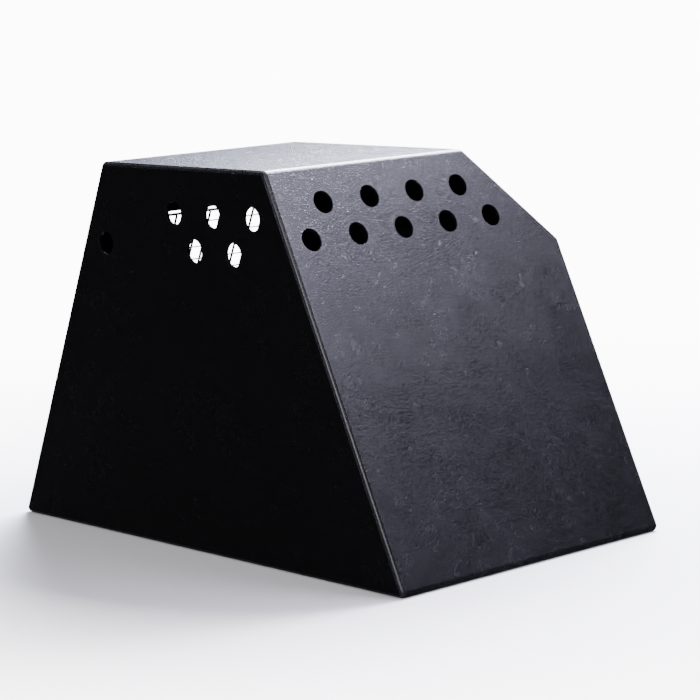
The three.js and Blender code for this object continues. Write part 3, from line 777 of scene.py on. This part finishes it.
# %% Bolt plate, bar and screws
PLATE_HEIGHT = 0.046
GUIDE_LENGTH = 0.01
GUIDE_RADIUS = 0.007
STEM_PLAY = 0.004
STEM_HEIGHT = 0.024
KNOB_RADIUS = 0.0055
BOLT_PLAY = 0.0003
BACKPLATE_WIDTH = 0.02
SCREW_RADIUS, SCREW_OFFSET = 0.002, 0.018
SCREW_HEAD_RADIUS, SCREW_HEAD_HEIGHT = 0.004, 0.0024
NUT_RADIUS, NUT_HEIGHT, SCREW_END = 0.004, 0.0032, 0.001
PLATE_CORNER, BACKPLATE_CORNER = 0.004, 0.003
BAR_CHAMFER, TIP_TAPER = 0.0006, 0.0018
SCREW_RIM = 0.0008
THREAD_PITCH, THREAD_DEPTH, THREAD_START = 0.0007, 0.0003, 0.0004
SLOT_LENGTH, SLOT_WIDTH, SLOT_DEPTH, SLOT_CORNER = 0.0046, 0.0009, 0.0011, 0.0002

plate_bottom = UPRIGHT_DEPTH + UPRIGHT_WIRE / 2 + FIT
plate_top = plate_bottom + PLATE_THICKNESS
backplate_top = CROSS_DEPTH - CROSS_WIRE / 2 - FIT
backplate_bottom = backplate_top - PLATE_THICKNESS
nut_top = backplate_bottom - FIT
plate_right = frame_right - FRAME_WIRE / 2 - PLATE_MARGIN
outer_guide = plate_right - PLATE_MARGIN - GUIDE_LENGTH
inner_guide = outer_guide - BOLT_DIAMETER - BOLT_STROKE - STEM_PLAY - GUIDE_LENGTH
screw_x = frame_right - MESH_MARGIN - 0.5 * MESH_PITCH


def guide(height, start):
    """A D-shaped loop standing on the plate, with the bolt's bore through it."""
    bm = bmesh.new()
    foot = bm.verts.new((start, height - GUIDE_RADIUS, plate_bottom + FIT))
    first = bm.verts.new((start, height + GUIDE_RADIUS, BOLT_HEIGHT))
    last = bm.verts.new((start, height + GUIDE_RADIUS, plate_bottom + FIT))
    spun = bmesh.ops.spin(
        bm, geom=[first], cent=(start, height, BOLT_HEIGHT), axis=(1, 0, 0), angle=math.pi, steps=16, use_merge=False,
    )
    end = next(v for v in spun["geom_last"] if isinstance(v, bmesh.types.BMVert))
    for pair in ((end, foot), (foot, last), (last, first)):
        bm.edges.new(pair)
    bmesh.ops.contextual_create(bm, geom=bm.edges[:])
    made = bmesh.ops.extrude_face_region(bm, geom=bm.faces[:])["geom"]
    bmesh.ops.translate(bm, verts=[g for g in made if isinstance(g, bmesh.types.BMVert)], vec=(GUIDE_LENGTH, 0, 0))
    bmesh.ops.recalc_face_normals(bm, faces=bm.faces)
    obj = object_of(bm, "guide")
    tool = bmesh.new()
    bore = ((start - REACH, height, BOLT_HEIGHT), (start + REACH, height, BOLT_HEIGHT))
    rod(tool, *bore, BOLT_DIAMETER / 2 + BOLT_PLAY, sides=32)
    return boolean(obj, object_of(tool, "tool"), "DIFFERENCE")


def make_bolt_plate(level, height):
    outline = rectangle(inner_guide - PLATE_MARGIN, plate_right, height - PLATE_HEIGHT / 2, height + PLATE_HEIGHT / 2)
    obj = prism(outline, PLATE_CORNER, plate_bottom, plate_top)
    for start in (inner_guide, outer_guide):
        boolean(obj, guide(height, start), "UNION")
    obj.name = level + "_bolt_plate_with_guides"
    obj.data.transform(DOOR_END)
    return stand_for(bevelled_edges(obj, STEEL_ARRIS), "door", "zinc_steel", level + "_bolt_plate")


def make_backplate(level, height):
    half = BACKPLATE_WIDTH / 2
    outline = rectangle(screw_x - half, screw_x + half, height - PLATE_HEIGHT / 2, height + PLATE_HEIGHT / 2)
    obj = prism(outline, BACKPLATE_CORNER, backplate_bottom, backplate_top)
    obj.name = level + "_clamping_backplate"
    obj.data.transform(DOOR_END)
    return stand_for(bevelled_edges(obj, STEEL_ARRIS), "door", "zinc_steel", level + "_bolt_backplate")


def make_bolt(level, height):
    radius = BOLT_DIAMETER / 2
    tail = inner_guide - PLATE_MARGIN - BOLT_STROKE
    stem = inner_guide + GUIDE_LENGTH + STEM_PLAY / 2 + radius
    length = opening_right - TIP_SETBACK - tail
    bm = bmesh.new()
    bar = [
        (0, 0), (radius - BAR_CHAMFER, 0), (radius, BAR_CHAMFER), (radius, length - TIP_TAPER),
        (radius * 0.5, length), (0, length),
    ]
    turned(bm, bar, Matrix.Translation((tail, height, BOLT_HEIGHT)) @ Matrix.Rotation(math.pi / 2, 4, "Y"))
    neck = radius * 0.8
    ball = STEM_HEIGHT - math.sqrt(KNOB_RADIUS**2 - neck**2)
    start = math.asin(neck / KNOB_RADIUS)
    knob = [
        (KNOB_RADIUS * math.sin(angle), STEM_HEIGHT - KNOB_RADIUS * math.cos(angle))
        for angle in [start + (math.pi - start) * i / 12 for i in range(1, 12)]
    ]
    post = [(0, 0), (neck + 0.0008, radius - 0.0006), (neck, radius + 0.0012), (neck, ball), *knob]
    turned(bm, [*post, (0, STEM_HEIGHT + KNOB_RADIUS)], Matrix.Translation((stem, height, BOLT_HEIGHT)))
    return stand_for(finished(bm, level + "_slide_bolt_bar", 50), level + "_bolt", "zinc_steel", level + "_bolt")


def make_screw(level, i, height):
    seat = plate_top + FIT
    end = nut_top - NUT_HEIGHT - SCREW_END
    rim = seat + SCREW_RIM
    head = [(SCREW_HEAD_RADIUS, seat), *dome(SCREW_HEAD_RADIUS, rim, SCREW_HEAD_HEIGHT - SCREW_RIM)]
    threads = []
    for k in range(int((backplate_bottom - end) / THREAD_PITCH)):
        z = end + THREAD_START + k * THREAD_PITCH
        threads += [(SCREW_RADIUS - THREAD_DEPTH, z), (SCREW_RADIUS, z + THREAD_PITCH / 2)]
    bm = bmesh.new()
    point = [(0, end), (SCREW_RADIUS - 2 * THREAD_DEPTH, end)]
    profile = [*point, *threads, (SCREW_RADIUS, backplate_bottom), (SCREW_RADIUS, seat), *head]
    turned(bm, profile, Matrix.Translation((screw_x, height, 0)))
    bmesh.ops.recalc_face_normals(bm, faces=bm.faces)
    obj = object_of(bm, f"{level}_clamping_screw_{i}")
    slot_bottom = seat + SCREW_HEAD_HEIGHT - SLOT_DEPTH
    for length, width in ((SLOT_LENGTH, SLOT_WIDTH), (SLOT_WIDTH, SLOT_LENGTH)):
        slot = rectangle(screw_x - length / 2, screw_x + length / 2, height - width / 2, height + width / 2)
        boolean(obj, prism(slot, SLOT_CORNER, slot_bottom, seat + 0.01, steps=3), "DIFFERENCE")
    obj.data.transform(DOOR_END)
    return stand_for(smooth(obj), "door", "zinc_steel", f"{level}_bolt_screw_{i}")


def make_nut(level, i, height):
    bm = bmesh.new()
    place = Matrix.Translation((screw_x, height, nut_top - NUT_HEIGHT / 2))
    bmesh.ops.create_cone(
        bm, cap_ends=True, segments=6, radius1=NUT_RADIUS, radius2=NUT_RADIUS, depth=NUT_HEIGHT, matrix=place,
    )
    obj = object_of(bm, f"{level}_hexagon_nut_{i}")
    tool = bmesh.new()
    bore = (screw_x, height, nut_top - REACH), (screw_x, height, nut_top + REACH)
    rod(tool, *bore, SCREW_RADIUS + FIT / 2, sides=28)
    boolean(obj, object_of(tool, "tool"), "DIFFERENCE")
    obj.data.transform(DOOR_END)
    return stand_for(bevelled_edges(obj, STEEL_ARRIS), "door", "zinc_steel", f"{level}_bolt_nut_{i}")


def make_bolts():
    for level, height in LEVELS.items():
        yield make_bolt_plate(level, height)
        yield make_backplate(level, height)
        yield make_bolt(level, height)
        for i, side in enumerate((-1, 1), 1):
            yield make_screw(level, i, height + side * SCREW_OFFSET)
            yield make_nut(level, i, height + side * SCREW_OFFSET)


bolts = list(make_bolts())

# %% [markdown]
# ## Writing shader maths
# A finish is a web of small nodes. The Channel class wraps one node's output, so that maths on it reads like
# maths. The Finish class holds a material, and its one method adds any other node.

# %% Channel and Finish


class Channel:
    """One output in a material. Arithmetic on it adds Math nodes."""

    def __init__(self, finish, socket):
        self.finish = finish
        self.socket = socket

    def _math(self, operation, *values):
        return self.finish.node("ShaderNodeMath", {"operation": operation}, dict(enumerate(values)))

    def __add__(self, other):
        return self._math("ADD", self, other)

    def __mul__(self, other):
        return self._math("MULTIPLY", self, other)

    def __sub__(self, other):
        return self._math("SUBTRACT", self, other)

    def __rsub__(self, other):
        return self._math("SUBTRACT", other, self)

    __radd__ = __add__
    __rmul__ = __mul__

    def larger(self, other):
        return self._math("MAXIMUM", self, other)

    def between(self, low, high):
        """0 at low and below, 1 at high and above."""
        sockets = {"Value": self, "From Min": low, "From Max": high}
        return self.finish.node("ShaderNodeMapRange", {"clamp": True}, sockets)


class Finish:
    """A material round one Principled shader."""

    def __init__(self, name, **fixed):
        self.material = bpy.data.materials.new(name)
        self.material.use_nodes = True
        self.tree = self.material.node_tree
        self.shader = next(n for n in self.tree.nodes if n.type == "BSDF_PRINCIPLED")
        for socket, value in fixed.items():
            self.shader.inputs[socket.replace("_", " ")].default_value = value
        self.place = self.node("ShaderNodeTexCoord", out="Object")

    def node(self, kind, settings=None, sockets=None, out=0):
        made = self.tree.nodes.new(kind)
        for name, value in (settings or {}).items():
            setattr(made, name, value)
        for name, value in (sockets or {}).items():
            self.feed(made.inputs[name], value)
        return Channel(self, made.outputs[out])

    def feed(self, socket, value):
        if isinstance(value, Channel):
            self.tree.links.new(value.socket, socket)
        else:
            socket.default_value = value

    def noise(self, scale, detail=2.0, roughness=0.5, distortion=0.0, long=(1, 1, 1), turn=(0, 0, 0)):
        """Noise with about scale patches to the metre, stretched by long along axes that are turned first."""
        place = self.place
        if long != (1, 1, 1):
            turned_by = {"Vector": place, "Rotation": [math.radians(angle) for angle in turn], "Scale": long}
            place = self.node("ShaderNodeMapping", {"vector_type": "TEXTURE"}, turned_by)
        sockets = {"Vector": place, "Scale": scale, "Detail": detail, "Roughness": roughness}
        return self.node("ShaderNodeTexNoise", {}, {**sockets, "Distortion": distortion})

    def mixed(self, factor, low, high):
        """A colour between low and high."""
        return self.node("ShaderNodeMix", {"data_type": "RGBA"}, {0: factor, 6: low, 7: high}, out=2)

    def bumped(self, height, depth, strength=1.0):
        normal = self.node("ShaderNodeBump", {}, {"Height": height, "Distance": depth, "Strength": strength})
        self.feed(self.shader.inputs["Normal"], normal)

    def show(self, colour, roughness):
        self.feed(self.shader.inputs["Base Color"], colour)
        self.feed(self.shader.inputs["Roughness"], roughness)

    def cover(self, pieces):
        for obj in pieces:
            obj.data.materials.clear()
            obj.data.materials.append(self.material)
        print(self.material.name, "on", len(pieces), "pieces,", len(self.tree.nodes), "nodes")


# %% [markdown]
# ## Black plastic sheet
# The sheet is black polyethylene with a hair-cell grain: short fine ridges in all directions, pressed in by the
# rollers, that hold a little pale dust. Handling leaves cloudy smudges and a few scuffs that are duller than the
# rest. The bevel faces at the cut edges are lighter: partly scraped, partly a painted highlight along the arris.
# Stretched noise in two directions gives the hairs, round noise the pits between them, and slow noise at two sizes
# gives the clouds. The upright sides get the same finish with less dust colour, which makes them darker as painted
# shade.

# %% Black sheet finish
HAIR_TURNS = [(20, 10, 25), (-35, 0, -40)]


def hair_cell(finish):
    """The ridges of the grain, from 0 between them to 1 on top."""
    grain = finish.noise(400, detail=2, roughness=0.7).between(0.42, 0.62)
    for turn in HAIR_TURNS:
        hairs = finish.noise(420, detail=1, distortion=0.2, long=(1, 3, 1), turn=turn).between(0.52, 0.68)
        grain = grain.larger(hairs)
    return grain


def black_sheet(name, dust_and_shade):
    finish = Finish(name, IOR=1.5)
    grain = hair_cell(finish)
    clouds = finish.noise(6, detail=6, roughness=0.62, distortion=0.6).between(0.34, 0.66)
    smudges = finish.noise(21, detail=6, roughness=0.66, distortion=1.2).between(0.38, 0.7)
    wiped = finish.noise(9, detail=5, roughness=0.6, distortion=0.8, long=(1, 1, 2.6), turn=(40, 0, 0))
    wiped = wiped.between(0.5, 0.7)
    scuffs = finish.noise(45, detail=5, roughness=0.6, long=(1, 6, 1), turn=(15, 0, 60)).between(0.63, 0.7)
    arris_faces = finish.node("ShaderNodeAttribute", {"attribute_name": "arris_faces"}, out="Fac")
    film = clouds * 0.5 + smudges * 0.5
    # The pale dust colour in the grain. The side sheets get a lower value, and their darker colour is painted shade.
    dust_and_shade_colour = (dust_and_shade, dust_and_shade * 0.96, dust_and_shade * 1.25, 1)
    colour = finish.mixed(grain * (0.3 + film * 0.7), (0.0008, 0.0008, 0.001, 1), dust_and_shade_colour)
    # Lighter bevel faces: partly scraped cut edges, partly a painted highlight line along the arris.
    colour = finish.mixed(arris_faces * 0.6, colour, (0.02, 0.019, 0.022, 1))
    finish.show(colour, 0.21 + film * 0.09 - wiped * 0.04 + scuffs * 0.1)
    finish.bumped(grain + smudges * 0.3 - scuffs * 0.4, depth=0.00017)
    return finish


# %% [markdown]
# ## Weld bead
# Melted rod cools smooth and shiny, with faint flow marks.

# %% Weld bead finish


def weld_rod():
    finish = Finish("glossy weld bead", IOR=1.5)
    flow = finish.noise(60, detail=3, distortion=0.4)
    streaks = finish.noise(300, detail=2).between(0.35, 0.65)
    colour = finish.mixed(flow, (0.006, 0.006, 0.007, 1), (0.02, 0.019, 0.022, 1))
    finish.show(colour, 0.2 + streaks * 0.08 + flow * 0.08)
    finish.bumped(flow + streaks * 0.1, depth=0.00008)
    return finish


# %% [markdown]
# ## Wire and metal
# The door's wire has a satin black coat with a slight orange-peel surface and small chips. The steel parts are
# zinc-plated: bright and faintly spangled, brushed along one way, dulled in patches, and rubbed bright at their
# edges. The rivets are plain aluminium.

# %% Metal finishes


def black_wire():
    finish = Finish("black coated wire", IOR=1.5)
    peel = finish.noise(900, detail=2)
    patches = finish.noise(35, detail=4).between(0.4, 0.7)
    chips = finish.noise(160, detail=5, roughness=0.7).between(0.68, 0.72)
    colour = finish.mixed(patches, (0.008, 0.008, 0.009, 1), (0.018, 0.018, 0.019, 1))
    colour = finish.mixed(chips, colour, (0.16, 0.155, 0.15, 1))
    finish.show(colour, 0.34 + peel * 0.12 + chips * 0.2)
    finish.bumped(peel - chips, depth=0.00008)
    return finish


def zinc_steel():
    finish = Finish("zinc-plated steel", Metallic=1.0)
    spangle = finish.noise(130, detail=3, distortion=0.6).between(0.3, 0.7)
    brushing = finish.noise(900, detail=3, long=(1, 14, 1)).between(0.3, 0.7)
    tarnish = finish.noise(45, detail=5, roughness=0.65).between(0.5, 0.75)
    arris_faces = finish.node("ShaderNodeAttribute", {"attribute_name": "arris_faces"}, out="Fac")
    colour = finish.mixed(spangle, (0.44, 0.46, 0.48, 1), (0.62, 0.63, 0.64, 1))
    colour = finish.mixed(tarnish * 0.6, colour, (0.30, 0.29, 0.26, 1))
    colour = finish.mixed(arris_faces * 0.7, colour, (0.75, 0.75, 0.76, 1))
    finish.show(colour, 0.26 + brushing * 0.12 + tarnish * 0.2)
    finish.bumped(brushing + spangle * 0.4, depth=0.00004)
    return finish


def aluminium():
    finish = Finish("blind rivet aluminium", Metallic=1.0)
    rub = finish.noise(300, detail=3).between(0.3, 0.7)
    dull = finish.noise(90, detail=4).between(0.45, 0.7)
    colour = finish.mixed(rub, (0.66, 0.67, 0.68, 1), (0.8, 0.8, 0.8, 1))
    finish.show(finish.mixed(dull * 0.5, colour, (0.4, 0.4, 0.4, 1)), 0.28 + dull * 0.18 + rub * 0.06)
    finish.bumped(rub, depth=0.00003)
    return finish


hardware = jamb_hardware + bolts
bent_sheets, side_sheets = sheets[:2], sheets[2:]
black_sheet("black hair-cell sheet", 0.011).cover(bent_sheets)
# The side sheets take a smaller dust value: their darker colour is painted shade that keeps them black.
black_sheet("black side sheet with painted shade", 0.003).cover(side_sheets)
weld_rod().cover(beads)
black_wire().cover(wires)
zinc_steel().cover([obj for obj in hardware if obj["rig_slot"] == "zinc_steel"])
aluminium().cover([obj for obj in hardware if obj["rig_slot"] == "aluminium"])

# %% [markdown]
# ## Floor and light
# A pale floor fades into a pale surround. The lights are large and soft, because black plastic shows its shape by
# what it reflects. The roof mirrors the low panel behind it at a shallow angle, the bend the broad light above
# that, the closed end the panel on its right, and the weld bead the wide fill beside the camera. The overhead
# light touches the cut edges. The upright side mirrors only the floor, which is hidden from reflections, and its
# finish is darker than the bent sheets' as painted shade, so it stays black.

# %% Floor
FLOOR_RADIUS = 6.0
FADE_START, FADE_END = 0.6, 2.2


def make_floor():
    bm = bmesh.new()
    bmesh.ops.create_circle(bm, cap_ends=True, segments=96, radius=FLOOR_RADIUS)
    floor = object_of(bm, "floor")
    finish = Finish("pale floor", Specular_IOR_Level=0.2)
    speckle = finish.noise(60, detail=4)
    finish.show(finish.mixed(speckle, (0.86, 0.86, 0.86, 1), (0.9, 0.9, 0.9, 1)), 0.8)
    distance = finish.node("ShaderNodeVectorMath", {"operation": "LENGTH"}, {0: finish.place}, out="Value")
    clear = finish.node("ShaderNodeBsdfTransparent")
    output = next(n for n in finish.tree.nodes if n.type == "OUTPUT_MATERIAL")
    fade = distance.between(FADE_START, FADE_END)
    mix = finish.node(
        "ShaderNodeMixShader", {}, {0: fade, 1: Channel(finish, finish.shader.outputs[0]), 2: clear},
    )
    finish.feed(output.inputs["Surface"], mix)
    finish.cover([floor])
    floor.visible_glossy = False
    return floor


make_floor()

# %% Lights


def softbox(name, aim, azimuth, elevation, distance, size, power, colour=(1, 1, 1)):
    """A soft rectangle of light at an azimuth from +X and an elevation, in degrees, seen from its aim."""
    a, e = math.radians(azimuth), math.radians(elevation)
    out = Vector((math.cos(a) * math.cos(e), math.sin(a) * math.cos(e), math.sin(e)))
    data = bpy.data.lights.new(name, "AREA")
    data.shape = "RECTANGLE"
    data.size, data.size_y = size
    data.energy = power
    data.color = colour
    lamp = bpy.data.objects.new(name, data)
    bpy.context.scene.collection.objects.link(lamp)
    turn = out.to_track_quat("Z", "Y").to_matrix().to_4x4()
    lamp.matrix_world = Matrix.Translation(Vector(aim) + out * distance) @ turn
    lamp.visible_camera = False
    print(name, "at", [round(c, 2) for c in lamp.matrix_world.translation])
    return lamp


softbox("panel behind the roof", (0, 0, 0.65), 138.3, 15, 3.6, (4.0, 1.4), 20, (0.60, 0.66, 1.0))
softbox("broad light behind the bend", (0.2, 0, 0.65), 114, 41, 3.0, (2.8, 1.3), 1150, (0.85, 0.86, 1.0))
softbox("panel right of the closed end", (0.36, 0, 0.32), 47.3, 51, 3.0, (2.6, 1.7), 136, (0.79, 0.76, 1.0))
softbox("wide fill beside the camera", (0.4, -0.3, 0.3), -50, 26, 3.8, (4.0, 0.8), 110, (0.95, 0.94, 1.0))
softbox("light overhead", (0, 0, 0.3), -80, 75, 3.0, (2.0, 2.4), 36, (0.97, 0.96, 1.0))


def light_surround():
    world = bpy.data.worlds.new("surround")
    bpy.context.scene.world = world
    world.use_nodes = True
    tree = world.node_tree
    background = next(n for n in tree.nodes if n.type == "BACKGROUND")
    bright = tree.nodes.new("ShaderNodeBackground")
    background.inputs["Color"].default_value = (0.05, 0.05, 0.055, 1)
    bright.inputs["Color"].default_value = (1, 1, 1, 1)
    bright.inputs["Strength"].default_value = 12.0
    path = tree.nodes.new("ShaderNodeLightPath")
    mix = tree.nodes.new("ShaderNodeMixShader")
    output = next(n for n in tree.nodes if n.type == "OUTPUT_WORLD")
    tree.links.new(path.outputs["Is Camera Ray"], mix.inputs[0])
    tree.links.new(background.outputs[0], mix.inputs[1])
    tree.links.new(bright.outputs[0], mix.inputs[2])
    tree.links.new(mix.outputs[0], output.inputs["Surface"])


light_surround()
